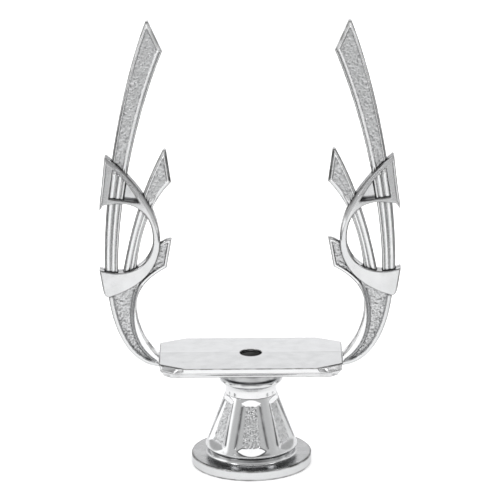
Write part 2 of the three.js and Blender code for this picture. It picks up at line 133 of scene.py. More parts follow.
def distance(points, line):
    """Distance of each point from an open line, and 1 or -1 for the side of it that it lies on."""
    start = line[:-1]
    step = np.diff(line, axis=0)
    length_squared = (step ** 2).sum(1)
    far = np.empty(len(points))
    side = np.empty(len(points))
    for first in range(0, len(points), 4000):
        part = points[first:first + 4000]
        offset = part[:, None] - start[None]
        t = np.clip((offset * step).sum(2) / length_squared, 0, 1)
        away = offset - t[..., None] * step
        squares = (away ** 2).sum(2)
        near = squares.argmin(1)
        rows = np.arange(len(part))
        far[first:first + 4000] = np.sqrt(squares[rows, near])
        cross = step[near, 0] * away[rows, near, 1] - step[near, 1] * away[rows, near, 0]
        side[first:first + 4000] = np.where(cross >= 0, 1, -1)
    return far, side


def inside(points, outline):
    """Whether each point is inside a closed outline."""
    result = np.zeros(len(points), bool)
    x, y = points[:, 0], points[:, 1]
    for (ax, ay), (bx, by) in zip(outline, np.roll(outline, -1, axis=0)):
        if ay == by:
            continue
        crosses = ((ay > y) != (by > y)) & (x < (bx - ax) * (y - ay) / (by - ay) + ax)
        result ^= crosses
    return result


def smooth(low, high, value):
    """0 below low, 1 above high and an S-curve between them."""
    t = np.clip((value - low) / (high - low), 0, 1)
    return t * t * (3 - 2 * t)


def soft_profile(stations, softness):
    """A function through (distance, height) stations, with its corners rounded as a casting's are."""
    step = 0.01
    margin = 4 * softness
    reach = stations[-1][0]
    places = np.arange(-margin, reach + 2 * margin, step)
    heights = np.interp(places, *np.array(stations).T)
    kernel = np.exp(-0.5 * (np.arange(-margin, margin + step, step) / softness) ** 2)
    padded = np.pad(heights, len(kernel) // 2, mode="edge")
    rounded = np.convolve(padded, kernel / kernel.sum(), mode="valid")[:len(places)]
    return lambda value: np.interp(value, places, rounded)


class Stipple:
    """The fine hammered grain of the panels, as a seeded height map that repeats."""

    def __init__(self, size=512, pitch=0.08, grain=0.2):
        noise = rng.standard_normal((size, size))
        frequency = np.fft.fftfreq(size, pitch)
        fx, fy = np.meshgrid(frequency, frequency)
        falloff = np.exp(-2 * (math.pi * grain) ** 2 * (fx ** 2 + fy ** 2))
        heights = np.fft.ifft2(np.fft.fft2(noise) * falloff).real
        self.heights = heights / heights.std()
        self.size = size
        self.pitch = pitch

    def __call__(self, x, y):
        column = x / self.pitch
        row = y / self.pitch
        c0 = np.floor(column).astype(int)
        r0 = np.floor(row).astype(int)
        cf = column - c0
        rf = row - r0
        c0, c1 = c0 % self.size, (c0 + 1) % self.size
        r0, r1 = r0 % self.size, (r0 + 1) % self.size
        top = self.heights[r0, c0] * (1 - cf) + self.heights[r0, c1] * cf
        bottom = self.heights[r1, c0] * (1 - cf) + self.heights[r1, c1] * cf
        return np.clip(top * (1 - rf) + bottom * rf, -2, 2)


stipple = Stipple()
STIPPLE_HEIGHT = 0.09  # for one standard deviation of the grain


# Sheets: flat triangulated areas that get a height at every point

class Sheet:
    """Triangles that fill the area inside the first outline and outside the others.

    Rows of points follow the edges at the ring distances, and a staggered grid fills the rest.
    """

    def __init__(self, outlines, spacing, rings):
        edge = np.concatenate(outlines)
        lines = [np.concatenate([outline, outline[:1]]) for outline in outlines]
        rows = [edge]
        for ring in rings:
            for outline in outlines:
                rows.append(self.ring_points(outline, lines, outlines, ring))
        low, high = edge.min(0), edge.max(0)
        row_gap = spacing * math.sqrt(3) / 2
        heights = np.arange(low[1], high[1], row_gap)
        columns = np.arange(low[0], high[0], spacing)
        v, u = np.meshgrid(heights, columns, indexing="ij")
        u = u + spacing / 2 * (np.arange(len(u)) % 2)[:, None]
        grid = np.stack([u.ravel(), v.ravel()], axis=1)
        clear = self.contains(grid, outlines) & (self.edge_distance(grid, lines) > rings[-1] + spacing / 2)
        rows.append(grid[clear])
        points = np.concatenate(rows)
        edges = []
        self.loops = []
        first = 0
        for outline in outlines:
            loop = np.arange(first, first + len(outline))
            self.loops.append(loop)
            edges += list(zip(loop.tolist(), np.roll(loop, -1).tolist()))
            first += len(outline)
        result = delaunay_2d_cdt([Vector(point) for point in points], edges, [], 0, 1e-5)
        self.points = np.array([tuple(point) for point in result[0]])
        triangles = np.array([face for face in result[2] if len(face) == 3])
        middles = self.points[triangles].mean(1)
        self.triangles = triangles[self.contains(middles, outlines)]
        moved = np.empty(len(points), int)
        for new, olds in enumerate(result[3]):
            moved[list(olds)] = new
        self.loops = [moved[loop] for loop in self.loops]

    @staticmethod
    def contains(points, outlines):
        result = inside(points, outlines[0])
        for hole in outlines[1:]:
            result &= ~inside(points, hole)
        return result

    @staticmethod
    def edge_distance(points, lines):
        return np.min([distance(points, line)[0] for line in lines], axis=0)

    def ring_points(self, outline, lines, outlines, ring):
        tangent = np.roll(outline, -1, axis=0) - np.roll(outline, 1, axis=0)
        tangent /= np.linalg.norm(tangent, axis=1)[:, None]
        normal = np.stack([-tangent[:, 1], tangent[:, 0]], axis=1)
        kept = []
        for sign in (1, -1):
            moved = outline + sign * ring * normal
            good = self.contains(moved, outlines) & (self.edge_distance(moved, lines) > 0.97 * ring)
            kept.append(moved[good])
        return np.concatenate(kept)


def mesh_object(name, vertices, faces, points_attribute=None):
    """A smooth-shaded object in metres from arrays in millimetres."""
    mesh = bpy.data.meshes.new(name)
    mesh.from_pydata((np.asarray(vertices) * MM).tolist(), [], [tuple(face) for face in faces])
    mesh.validate()
    work = bmesh.new()
    work.from_mesh(mesh)
    bmesh.ops.recalc_face_normals(work, faces=work.faces)
    work.to_mesh(mesh)
    work.free()
    mesh.shade_smooth()
    for key, values in (points_attribute or {}).items():
        attribute = mesh.attributes.new(key, "FLOAT", "POINT")
        attribute.data.foreach_set("value", np.asarray(values, np.float32))
    piece = bpy.data.objects.new(name, mesh)
    bpy.context.scene.collection.objects.link(piece)
    return piece


def store_bend(piece, reach):
    """Stores how hollow and how proud the surface is at each point, averaged over a few rings, for painted
    shade in the hollows and painted dark lines on the ridges.
    """
    mesh = piece.data
    count = len(mesh.vertices)
    places = np.empty(count * 3)
    mesh.vertices.foreach_get("co", places)
    places = places.reshape(-1, 3)
    normals = np.empty(count * 3, np.float32)
    mesh.vertex_normals.foreach_get("vector", normals)
    normals = normals.reshape(-1, 3)
    ends = np.empty(len(mesh.edges) * 2, int)
    mesh.edges.foreach_get("vertices", ends)
    a, b = ends.reshape(-1, 2).T
    neighbours = np.maximum(np.bincount(a, minlength=count) + np.bincount(b, minlength=count), 1)

    def mean_of_neighbours(values):
        return (np.bincount(a, values[b], count) + np.bincount(b, values[a], count)) / neighbours

    lengths = np.linalg.norm(places[a] - places[b], axis=1)
    spread = (np.bincount(a, lengths ** 2, count) + np.bincount(b, lengths ** 2, count)) / neighbours
    middle = np.stack([mean_of_neighbours(places[:, k]) for k in range(3)], axis=1)
    bend = ((middle - places) * normals).sum(1) / np.maximum(spread, 1e-12) * MM
    for _ in range(reach):
        bend = 0.5 * bend + 0.5 * mean_of_neighbours(bend)
    for key, values in (("hollow", bend), ("proud", -bend)):
        attribute = mesh.attributes.new(key, "FLOAT", "POINT")
        attribute.data.foreach_set("value", np.clip(values, 0, 2).astype(np.float32))


def relief(name, sheet, front, back, side, marks):
    """A closed plate: the sheet at depth front towards -Y and back towards +Y, joined round its edges.

    The walls round its edges have two rows of points of their own, just inside the front and the back.
    """
    count = len(sheet.points)
    u, z = sheet.points.T
    edge_points = np.concatenate(sheet.loops)
    depth = front[edge_points] + back[edge_points]
    row_inset = np.minimum(WALL_ROW, depth / 3)
    wall_u, wall_z = sheet.points[edge_points].T
    vertices = np.concatenate([
        np.stack([side * u, -front, z], axis=1),
        np.stack([side * u, back, z], axis=1),
        np.stack([side * wall_u, row_inset - front[edge_points], wall_z], axis=1),
        np.stack([side * wall_u, back[edge_points] - row_inset, wall_z], axis=1),
    ])
    faces = [sheet.triangles, sheet.triangles[:, ::-1] + count]
    faces = [tuple(face) for part in faces for face in part.tolist()]
    first = 0
    for loop in sheet.loops:
        near_row = 2 * count + first + np.arange(len(loop))
        far_row = near_row + len(edge_points)
        rows = [loop, near_row, far_row, loop + count]
        for upper, lower in zip(rows, rows[1:]):
            after_upper, after_lower = np.roll(upper, -1), np.roll(lower, -1)
            faces += list(zip(upper.tolist(), after_upper.tolist(), after_lower.tolist(), lower.tolist()))
        first += len(loop)
    values = {}
    for key, mark in marks.items():
        on_wall = mark[edge_points] * (WALL_SHADE if key == "edge" else 1)
        values[key] = np.concatenate([mark, mark, on_wall, on_wall])
    return mesh_object(name, vertices, faces, values)


# Arms

POCKET_MARGIN = 0.1  # how far a pocket reaches past the outline of what it holds
WALL_ROW = 0.15  # from a plate's face to the first row of points on its wall
WALL_SHADE = 0.35  # the painted dark line on a wall, as a share of that on its edge
EDGE_SHADE_REACH = 0.27  # how far the painted dark line reaches in from an edge
EDGE = soft_profile([(0, 0.45), (0.1, 0.72), (0.22, 0.93), (0.32, 1.0), (3, 1.0)], 0.02)
# A feather's rim slopes up from the edge to a narrow crest, then drops to the panel.
FEATHER_SPACING = 0.17
VALLEY_HALF = 0.65  # half thickness at the bottom of a quill's valleys
RIDGE_POWER = 3.6  # 2 makes round ridges, and more makes their tops flatter
LONG_VALLEYS = (0.0, 0.42, 0.78, 1.0)  # shares of the quill's width, from its outer edge
SHORT_VALLEYS = (0.0, 0.48, 0.78, 1.0)


def rim(width):
    """Height of a rim at a distance from the edge: up to 1 at its narrow crest and 0 on the panel."""
    crest = [(width - 0.3, 1), (width, 1), (width + 0.22, 0), (width + 2, 0)]
    return soft_profile([(0, 0.3), (0.1, 0.72)] + crest, 0.03)


def flanked_rim(width):
    """The same with a steeper flank along its outside."""
    crest = [(width - 0.35, 1), (width, 1), (width + 0.22, 0), (width + 2, 0)]
    return soft_profile([(0, 0.12), (0.06, 0.2), (0.65, 0.75)] + crest, 0.03)


def edge_shade(*distances):
    """Painted dark line: 1 at an edge, fading to 0 inside it."""
    return np.exp(-(np.minimum.reduce(distances) / EDGE_SHADE_REACH) ** 2)


def ridge_height(across, valleys):
    """Height, from 0 to 1, of the flat-topped ridges that lie between the valleys."""
    height = np.zeros_like(across)
    for low, high in zip(valleys, valleys[1:]):
        here = (across >= low) & (across <= high)
        middle_offset = np.abs(2 * (across[here] - low) / (high - low) - 1)
        height[here] = (1 - middle_offset ** RIDGE_POWER) ** (1 / RIDGE_POWER)
    return height


def feather_relief(sheet, outer, top, inner, inner_width, valleys, quill_end, panel_start):
    """Half thickness and grain of a feather: a rimmed stippled blade above a ridged quill."""
    u, z = sheet.points.T
    to_outer = distance(sheet.points, outer)[0]
    to_inner = distance(sheet.points, inner)[0]
    to_top = distance(sheet.points, top)[0]
    rims = [(to_outer, 0.95, rim), (to_inner, inner_width, flanked_rim), (to_top, 1.2, rim)]
    raised = mitred(rims)
    blade = WEB_HALF + (FEATHER_HALF - WEB_HALF) * raised
    panel = 1 - smooth(0.0, 0.25, raised)
    across = to_outer / (to_outer + to_inner + 1e-9)
    quill = VALLEY_HALF + (FEATHER_HALF - VALLEY_HALF) * ridge_height(across, valleys)
    share = smooth(quill_end, panel_start, z)
    grain = panel * share
    # A fine groove runs down the foot of the panel, in line with the quill's first valley.
    foot_groove = 0.2 * np.exp(-((across - valleys[1]) * (to_outer + to_inner) / 0.16) ** 2)
    fading = smooth(panel_start + 9, panel_start + 2, z)
    half = (blade - foot_groove * fading) * share + quill * (1 - share)
    # Painted shade fills the valleys where the quill goes in under the crescent.
    outline, window = (looped(shape) for shape in crescent_outlines())
    valley = (1 - ridge_height(across, valleys)) ** 1.5
    beside_crescent = np.maximum(near(sheet.points, outline, 1.1), near(sheet.points, window, 0.8))
    sockets = beside_crescent * valley * (1 - share)
    # Painted shade along the quill's sides low down and in its valleys, and painted highlights on its ridge
    # tops.
    low_sides = 0.9 * edge_shade(to_outer, to_inner) * smooth(77, 69, z)
    ridge_tops = 0.25 * smooth(0.95, 1.0, ridge_height(across, valleys))
    dark_valleys = 0.55 * valley ** 1.5 * (1 - share)
    # Marks: painted highlights along the rim crests and ridge tops, painted dark lines along the edges and
    # near the tip, and painted shade under the crescent and in the quill.
    return half + STIPPLE_HEIGHT * grain * stipple(u, z), {
        "grain": grain,
        "bright": crest_lines(rims) * share * (raised > 0.9) + ridge_tops * (1 - share),
        "edge": np.maximum(edge_shade(to_outer, to_inner, to_top), 0.8 * np.exp(-(to_top / 0.8) ** 2)),
        "grime": np.maximum.reduce([shade_under_crescent(sheet), sockets, low_sides, dark_valleys]),
    }


def mitred(rims):
    """Height of the rims given as (distance, width, shape), each up to where the next is nearer."""
    shares = np.array([away / width for away, width, shape in rims])
    nearest = shares.argmin(0)
    result = np.zeros(shares.shape[1])
    for k, (away, width, shape) in enumerate(rims):
        result[nearest == k] = shape(width)(away[nearest == k])
    return result


def crest_lines(rims):
    """1 along the narrow crests of the same rims, fading to 0 beside them."""
    return np.exp(-np.min([(away - width + 0.12) ** 2 for away, width, shape in rims], axis=0) / 0.17 ** 2)


def long_feather_sheet():
    outer = run(LONG_OUTER, 0.2)
    inner = run(LONG_INNER, 0.2)
    top = polyline([LONG_OUTER[-1], LONG_TIP, LONG_INNER[-1]], 0.2)
    foot = polyline([LONG_INNER[0], LONG_OUTER[0]], 0.2)
    sheet = Sheet([closed(outer, top, inner[::-1], foot)], FEATHER_SPACING, (0.09, 0.22, 0.38))
    return sheet, feather_relief(sheet, outer, top, inner, 1.65, LONG_VALLEYS, 98.5, 102.5)


def short_feather_sheet():
    outer = run(SHORT_OUTER, 0.2)
    inner = run(SHORT_INNER, 0.2)
    top = polyline([SHORT_OUTER[-1], SHORT_TIP, SHORT_INNER[-1]], 0.2)
    foot = polyline([SHORT_INNER[0], SHORT_OUTER[0]], 0.2)
    sheet = Sheet([closed(outer, top, inner[::-1], foot)], FEATHER_SPACING, (0.09, 0.22, 0.38))
    return sheet, feather_relief(sheet, outer, top, inner, 1.25, SHORT_VALLEYS, 89.0, 93.0)


def stem_sheet():
    """The stem and its spur: rims along the edges, a groove beside the inner rim and a stippled web."""
    outer = run(STEM_OUTER, 0.2)
    tongue = polyline(STEM_TONGUE, 0.25)
    top = run(SPUR_TOP, 0.2)
    tip = run(SPUR_TIP, 0.2)
    sweep = run(STEM_SWEEP, 0.2)
    inner = run(STEM_INNER, 0.2)
    root = polyline(STEM_ROOT, 0.2)
    sheet = Sheet([closed(outer, tongue, top, tip, sweep, inner, root)], FEATHER_SPACING, (0.1, 0.25, 0.42))
    u, z = sheet.points.T
    to_outer = distance(sheet.points, outer)[0]
    to_top = distance(sheet.points, top)[0]
    to_tip = distance(sheet.points, tip)[0]
    to_inside = distance(sheet.points, np.concatenate([sweep, inner[1:]]))[0]
    to_groove, groove_side = distance(sheet.points, run(STEM_GROOVE, 0.2))
    thick = FEATHER_HALF + (STEM_HALF - FEATHER_HALF) * (1 - smooth(57.5, 62.5, z))
    spur_share = smooth(59.0, 65.0, z)
    # On the stem the inner rim fills the width up to the groove, with a thin ridge beyond it.
    band = soft_profile([(0, 0.1), (0.25, 0.9), (0.4, 1.0), (6, 1)], 0.03)
    thin_ridge = soft_profile([(0, 0.15), (0.3, 0.5), (0.55, 0.5), (0.95, 0), (2, 0)], 0.06)
    broad = np.where(groove_side < 0, band(to_groove), thin_ridge(to_groove))
    stem_rims = np.maximum(broad, rim(1.5)(to_outer))
    spur_rims = mitred([(to_top, 1.0, rim), (to_tip, 0.95, rim), (to_inside, 1.1, rim)])
    raised = stem_rims * (1 - spur_share) + spur_rims * spur_share
    envelope = EDGE(np.minimum.reduce([to_outer, to_top, to_tip, to_inside]) * 0.8)
    half = np.minimum(WEB_HALF + (thick - WEB_HALF) * raised, thick * envelope)
    grain = 1 - smooth(0, 0.25, raised)
    # Marks: painted highlights on the raised rims, painted dark lines along the edges and painted shade under
    # the crescent.
    return sheet, (half + STIPPLE_HEIGHT * grain * stipple(u, z), {
        "grain": grain,
        "bright": np.where(groove_side < 0, 0.5, 0.2) * smooth(0.9, 1.0, raised),
        "edge": edge_shade(to_outer, to_top, to_tip, to_inside),
        "grime": shade_under_crescent(sheet),
    })


def crescent_outlines():
    """The crescent's outline and its window's."""
    outline = closed(
        run(CRESCENT_BACK, 0.2), run(CRESCENT_BELLY, 0.2), run(CRESCENT_HEEL, 0.2), run(CRESCENT_HORN, 0.2),
        run(CRESCENT_LOWER, 0.2), run(CRESCENT_UPPER, 0.2), run(CREST_BARB, 0.2), run(CREST_FOOT, 0.2),
        run(CREST_SIDE, 0.2), run(CREST_CORNER, 0.2),
    )
    window = closed(run(WINDOW_SIDE, 0.2), run(WINDOW_SILL, 0.2), run(WINDOW_SLOPE, 0.2))
    return outline, window


def crescent_sheet(with_window):
    """Half of the crescent with its crest, and the half thickness at each point."""
    outline, window = crescent_outlines()
    outlines = [outline, window] if with_window else [outline]
    sheet = Sheet(outlines, 0.19, (0.1, 0.2, 0.33, 0.5))
    u, z = sheet.points.T
    to_edge = Sheet.edge_distance(sheet.points, [looped(line) for line in outlines])
    side = np.concatenate([run(CREST_SIDE, 0.2), run(CREST_CORNER, 0.2)[1:]])
    height = np.minimum(
        soft_profile([(0, 0.8), (0.1, 0.92), (0.22, 1), (4, 1)], 0.02)(to_edge),
        soft_profile([(0, 0.89), (0.75, 1), (4, 1)], 0.05)(distance(sheet.points, side)[0]),
    )
    # The bevel along the back is widest at the crest and fades out round the belly.
    bevel = soft_profile([(0, 0.66), (0.2, 0.76), (1.25, 0.97), (1.4, 1), (9, 1)], 0.05)
    width = 0.25 + 0.75 * smooth(72, 92, z)
    height = np.minimum(height, bevel(distance(sheet.points, run(CRESCENT_BACK, 0.2))[0] / width))
    if with_window:
        frame_lines = soft_profile(
            [(0, 0), (0.4, 0), (0.65, -0.14), (0.9, 0), (1.3, 0), (1.55, -0.14), (1.8, 0), (9, 0)], 0.03)
        along_slope = smooth(91.5, 93.0, z) * (1 - smooth(42.4, 43.4, u))
        height = height + along_slope * frame_lines(distance(sheet.points, run(WINDOW_SLOPE, 0.2))[0])
    # A dark band along the back edge near the crest is painted shade, in both the edge mark and the shade
    # mark.
    to_back = distance(sheet.points, run(CRESCENT_BACK, 0.2))[0]
    dark_back = 0.9 * np.exp(-(to_back / 0.45) ** 2) * smooth(80, 88, z)
    return sheet, CRESCENT_HALF * height, np.maximum(edge_shade(to_edge), dark_back), 0.65 * dark_back


def pocket_depth(sheet):
    """Depth of the crescent's inner face: near the middle plane, or sunk to hold a feather or the stem."""
    held = [
        closed(run(LONG_OUTER, 0.5), polyline([LONG_OUTER[-1], LONG_TIP, LONG_INNER[-1]], 0.5),
               run(LONG_INNER, 0.5)[::-1], polyline([LONG_INNER[0], LONG_OUTER[0]], 0.5)),
        closed(run(SHORT_OUTER, 0.5), polyline([SHORT_OUTER[-1], SHORT_TIP, SHORT_INNER[-1]], 0.5),
               run(SHORT_INNER, 0.5)[::-1], polyline([SHORT_INNER[0], SHORT_OUTER[0]], 0.5)),
        closed(run(STEM_OUTER, 0.5), polyline(STEM_TONGUE, 0.5), run(SPUR_TOP, 0.5), run(SPUR_TIP, 0.5),
               run(STEM_SWEEP, 0.5), run(STEM_INNER, 0.5), polyline(STEM_ROOT, 0.5)),
    ]
    depth = np.full(len(sheet.points), GAP / 2)
    for outline in held:
        within = inside(sheet.points, outline) | (distance(sheet.points, looped(outline))[0] < POCKET_MARGIN)
        depth[within] = FEATHER_HALF + GAP
    return depth


def near(points, line, reach):
    """1 on a line, fading to 0 over a few times the reach."""
    return np.exp(-(distance(points, line)[0] / reach) ** 2)


def shade_under_crescent(sheet):
    """Painted shade on a feather or the stem, in the corner where it goes in under the crescent."""
    outline, window = (looped(shape) for shape in crescent_outlines())
    return np.maximum(near(sheet.points, outline, 0.4), 0.5 * near(sheet.points, window, 0.3))


def build_arms(plating):
    held = {
        "long_feather": long_feather_sheet(),
        "short_feather": short_feather_sheet(),
        "arm_stem": stem_sheet(),
    }
    front_sheet, front_half, front_edge, front_shade = crescent_sheet(with_window=True)
    back_sheet, back_half, back_edge, back_shade = crescent_sheet(with_window=False)
    crest_side = distance(front_sheet.points, run(CREST_SIDE, 0.2))[0]
    # The crest's face and the back half's upper part get painted shade and a matt finish; the window sill's
    # corner and a strip along it get painted shade.
    front_matt_shade = 0.42 * smooth(86, 92, front_sheet.points[:, 1]) * smooth(0.6, 0.9, crest_side)
    sill_corner = polyline([WINDOW_SILL[1], (WINDOW_SILL[1][0] + 1.2, WINDOW_SILL[1][1] + 0.2)], 0.3)
    along_sill = 0.15 * near(back_sheet.points, run(WINDOW_SILL, 0.3), 0.35)
    sill = np.maximum(near(back_sheet.points, sill_corner, 0.8), along_sill)
    back_matt_shade = 0.1 * smooth(86, 92, back_sheet.points[:, 1])
    for prefix, side in (("left", -1), ("right", 1)):
        for kind, (sheet, (half, marks)) in held.items():
            piece = relief(f"{prefix}_{kind}_plated", sheet, half, half, side, marks)
            finish_piece(piece, f"{prefix}_{kind}", plating)
        # The front half also gets a faint painted highlight on its lower part.
        marks = {"edge": front_edge, "grime": front_shade, "dull": front_matt_shade,
                 "bright": 0.05 * smooth(88, 80, front_sheet.points[:, 1])}
        name = f"{prefix}_crescent_front"
        piece = relief(f"{name}_plated", front_sheet, front_half, -pocket_depth(front_sheet), side, marks)
        finish_piece(piece, name, plating)
        marks = {"edge": back_edge, "grime": np.maximum(sill, back_shade), "dull": back_matt_shade}
        name = f"{prefix}_crescent_back"
        piece = relief(f"{name}_plated", back_sheet, -pocket_depth(back_sheet), back_half, side, marks)
        finish_piece(piece, name, plating)


def finish_piece(piece, node, material):
    """Gives a piece its hollow and proud marks for painted shade, and its material, and lets it stand for its
    CAD node.
    """
    store_bend(piece, 2)
    piece.data.materials.append(material)
    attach(piece, "root")
    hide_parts(node)


# Turned pieces

def filleted(corners, steps=6):
    """A closed profile from (radius, z, fillet) corners, with each corner rounded by its fillet."""
    corners = np.array(corners, float)
    points = []
    for i, (x, y, fillet) in enumerate(corners):
        here = np.array([x, y])
        before = corners[i - 1, :2] - here
        after = corners[(i + 1) % len(corners), :2] - here
        if fillet == 0:
            points.append(here)
            continue
        start = here + before / np.linalg.norm(before) * fillet
        end = here + after / np.linalg.norm(after) * fillet
        points += list(bezier([start, here, end], steps))
    return np.array(points)


def turned(name, profile, steps, shape):
    """A closed ring-shaped piece turned round the axis from a closed profile of (radius, z) points.

    shape gives the radius that each point really has, and its marks.
    """
    angles = np.linspace(0, 2 * math.pi, steps, endpoint=False)
    rows = len(profile)
    radius = np.repeat(profile[:, :1], steps, 1)
    z = np.repeat(profile[:, 1:], steps, 1)
    radius, marks = shape(radius, z, angles[None])
    vertices = np.stack([radius * np.sin(angles), -radius * np.cos(angles), z], axis=2).reshape(-1, 3)
    faces = []
    for row in range(rows):
        below = row * steps
        above = (row + 1) % rows * steps
        for i in range(steps):
            j = (i + 1) % steps
            faces.append((below + i, below + j, above + j, above + i))
    return mesh_object(name, vertices, faces, {key: mark.ravel() for key, mark in marks.items()})


def foot(plating):
    profile = filleted([
        (5.3, 4.2, 0.1), (8.3, 4.2, 0.2), (8.3, 0, 0.2), (10, 0, 0.2), (10, 1.6, 0.3), (17.6, 1.6, 0.3),
        (17.6, 0, 0.2), (19.8, 0, 0.45), (19.8, 3.5, 0.45), (14.6, 3.5, 0.5), (14.1, 5.4, 0.3),
        (5.3, 5.4, 0.1),
    ])

    def marked(radius, z, angles):
        rim_edge = np.hypot(radius - 19.8, np.abs(z - 1.75) - 1.75)
        # Painted shade on the seat under the cone's lip and, with a matt finish, on the top face; a painted
        # dark line round the rim and a painted highlight on its outside.
        return radius, {
            "grime": 0.8 * smooth(4.1, 4.6, z) * smooth(12.4, 13.2, radius),
            "edge": edge_shade(rim_edge - 0.25),
            "dull": 0.5 * smooth(3.2, 3.5, z) * smooth(14.4, 15.0, radius),
            "bright": 0.15 * smooth(19.6, 19.7, radius),
        }

    piece = turned("foot_flange_plated", refined(profile, 0.3), 360, marked)
    finish_piece(piece, "foot_flange", plating)


def refined(profile, spacing):
    """A closed profile with extra points along its long straight stretches."""
    parts = [evenly(np.array([a, b]), spacing)[:-1] for a, b in zip(profile, np.roll(profile, -1, axis=0))
             if np.linalg.norm(b - a) > 1e-6]
    return np.concatenate(parts)


CONE_BOTTOM, CONE_TOP = 6.3, 24.4
CONE_BOTTOM_RADIUS, CONE_TOP_RADIUS = 15.2, 8.6
PANEL_TURN = math.pi / 3
# From a panel's middle to the rib beside it, at the rib's low and high ends.
RIB_ANGLES = (math.radians(22.8), math.radians(18.0))
RIB_ENDS = (7.8, 23.2)


def cone_radius(z):
    share = (z - CONE_BOTTOM) / (CONE_TOP - CONE_BOTTOM)
    return CONE_BOTTOM_RADIUS + (CONE_TOP_RADIUS - CONE_BOTTOM_RADIUS) * share


def plane_through(a, b, c):
    """Unit normal and offset of the plane through three points, with the normal facing -Y."""
    normal = np.cross(np.subtract(b, a), np.subtract(c, a))
    normal = normal / np.linalg.norm(normal)
    if normal[1] > 0:
        normal = -normal
    return normal, float(np.dot(normal, a))


def rib_point(end):
    """A point of the line where a panel's bevel meets the rib, at its low or its high end."""
    radius = cone_radius(RIB_ENDS[end])
    return (radius * math.sin(RIB_ANGLES[end]), -radius * math.cos(RIB_ANGLES[end]), RIB_ENDS[end])


def mirrored(point):
    return (-point[0], point[1], point[2])


def panel_planes():
    """The planes of one recessed panel facing -Y: floor, two bevels, sill and head."""
    low_floor = (3.2, -13.0, 8.2)
    high_floor = (1.8, -8.3, 21.9)
    low_sill = (3.2, -13.0, 8.7)
    low_rib, high_rib = rib_point(0), rib_point(1)
    middle_rib = (0.5 * (low_rib[0] + high_rib[0]), 0.5 * (low_rib[1] + high_rib[1]), 15.5)
    return {
        "floor": plane_through(low_floor, high_floor, mirrored(low_floor)),
        "right": plane_through(low_floor, high_floor, middle_rib),
        "left": plane_through(mirrored(low_floor), mirrored(high_floor), mirrored(middle_rib)),
        "sill": plane_through(low_sill, mirrored(low_sill), (0, -cone_radius(6.7), 6.7)),
        "head": plane_through(high_floor, mirrored(high_floor), (0, -cone_radius(24.3), 24.3)),
    }


def soft_max(values, softness):
    """The largest of several arrays, with the change from one to another rounded over."""
    peak = np.max(values, axis=0)
    return peak + softness * np.log(np.exp((np.array(values) - peak) / softness).sum(0))


def pedestal(plating):
    profile = filleted([
        (11.0, 5.7, 0.2), (14.7, 5.7, 0.35), (15.2, 6.35, 0.35), (8.6, 24.4, 0.1), (6.1, 24.4, 0.1),
    ])
    planes = panel_planes()

    def shaped(radius, z, angles):
        turn = (angles + PANEL_TURN / 2) % PANEL_TURN - PANEL_TURN / 2
        direction = (np.sin(turn), -np.cos(turn))
        reach = []
        for normal, offset in planes.values():
            reach.append((offset - normal[2] * z) / (normal[0] * direction[0] + normal[1] * direction[1]))
        recessed = soft_max(reach, 0.07)
        floor_share = 1 - smooth(-0.12, -0.03, soft_max(reach[1:], 0.02) - reach[0])
        rib_angle = np.interp(z, RIB_ENDS, RIB_ANGLES)
        on_rib = np.clip((np.abs(turn) - rib_angle) / (PANEL_TURN / 2 - rib_angle), 0, 1)
        crown = 0.12 * (on_rib * (2 - on_rib)) * smooth(CONE_BOTTOM, CONE_BOTTOM + 1.5, z)
        full = radius - 0.12 * smooth(CONE_BOTTOM, CONE_BOTTOM + 1.5, z) + crown
        outside = (radius > cone_radius(z) - 0.4) & (z > 5.9)
        result = -soft_max([-full, -recessed], 0.05)
        beside_rib = np.abs(np.abs(turn) - rib_angle) * radius
        along_rib = smooth(8.6, 9.6, z) * (1 - smooth(21.6, 22.6, z))
        result = result - 0.28 * along_rib * np.exp(-(beside_rib / 0.22) ** 2)
        grain = np.where(outside & (recessed < full), floor_share, 0)
        along = radius * turn + 40 * np.floor(angles)
        result = result + STIPPLE_HEIGHT * 1.4 * grain * stipple(along, z)
        # Painted shade under the lip and in the grooves beside the ribs, and a painted highlight on the
        # panels' heads.
        under_lip = 1 - smooth(5.75, 6.05, z)
        in_groove = 0.9 * along_rib * np.exp(-(beside_rib / 0.42) ** 2) * outside
        on_head = (reach[4] >= np.max(reach[:4], axis=0) - 0.02) & (recessed < full)
        return np.where(outside, result, radius), {
            "grain": grain,
            "grime": np.maximum(under_lip, in_groove),
            "bright": np.where(outside & on_head, 0.5, 0),
        }

    rings = refined(profile, 0.2)
    # The plain wall inside keeps one ring in ten.
    inner_wall = (rings[:, 0] < cone_radius(rings[:, 1]) - 0.5) & (rings[:, 1] > 5.9)
    rings = rings[~inner_wall | (np.arange(len(rings)) % 10 == 0)]
    piece = turned("pedestal_shell_plated", rings, 640, shaped)
    finish_piece(piece, "pedestal_shell", plating)


def capital(plating):
    profile = filleted([
        (5.3, 23.0, 0.2), (5.8, 23.0, 0.2), (5.8, 24.5, 0.02), (8.58, 24.5, 0.06), (8.5, 26.5, 0.6),
        (9.3, 28.3, 0.5), (10.5, 28.7, 0.4), (10.5, 30.0, 0.5), (9.4, 30.6, 0.4), (9.6, 31.6, 0.3),
        (10.0, 33.8, 0.1), (5.3, 33.8, 0.1),
    ])

    def marked(radius, z, angles):
        # Painted shade in the throat under the platform and a painted highlight on the collar.
        return radius, {
            "grime": 0.55 * smooth(30.3, 31.0, z) + 0.4 * smooth(32.0, 32.3, z),
            "bright": 0.3 * smooth(28.8, 28.4, z),
        }

    piece = turned("capital_plated", refined(profile, 0.3), 288, marked)
    finish_piece(piece, "capital", plating)


# Platform

TABLE_STEPS = 384
SEAM = 0.04  # the closed joint between the table and its base
CORNER_START = 21.8  # distance along X where the corner facets begin


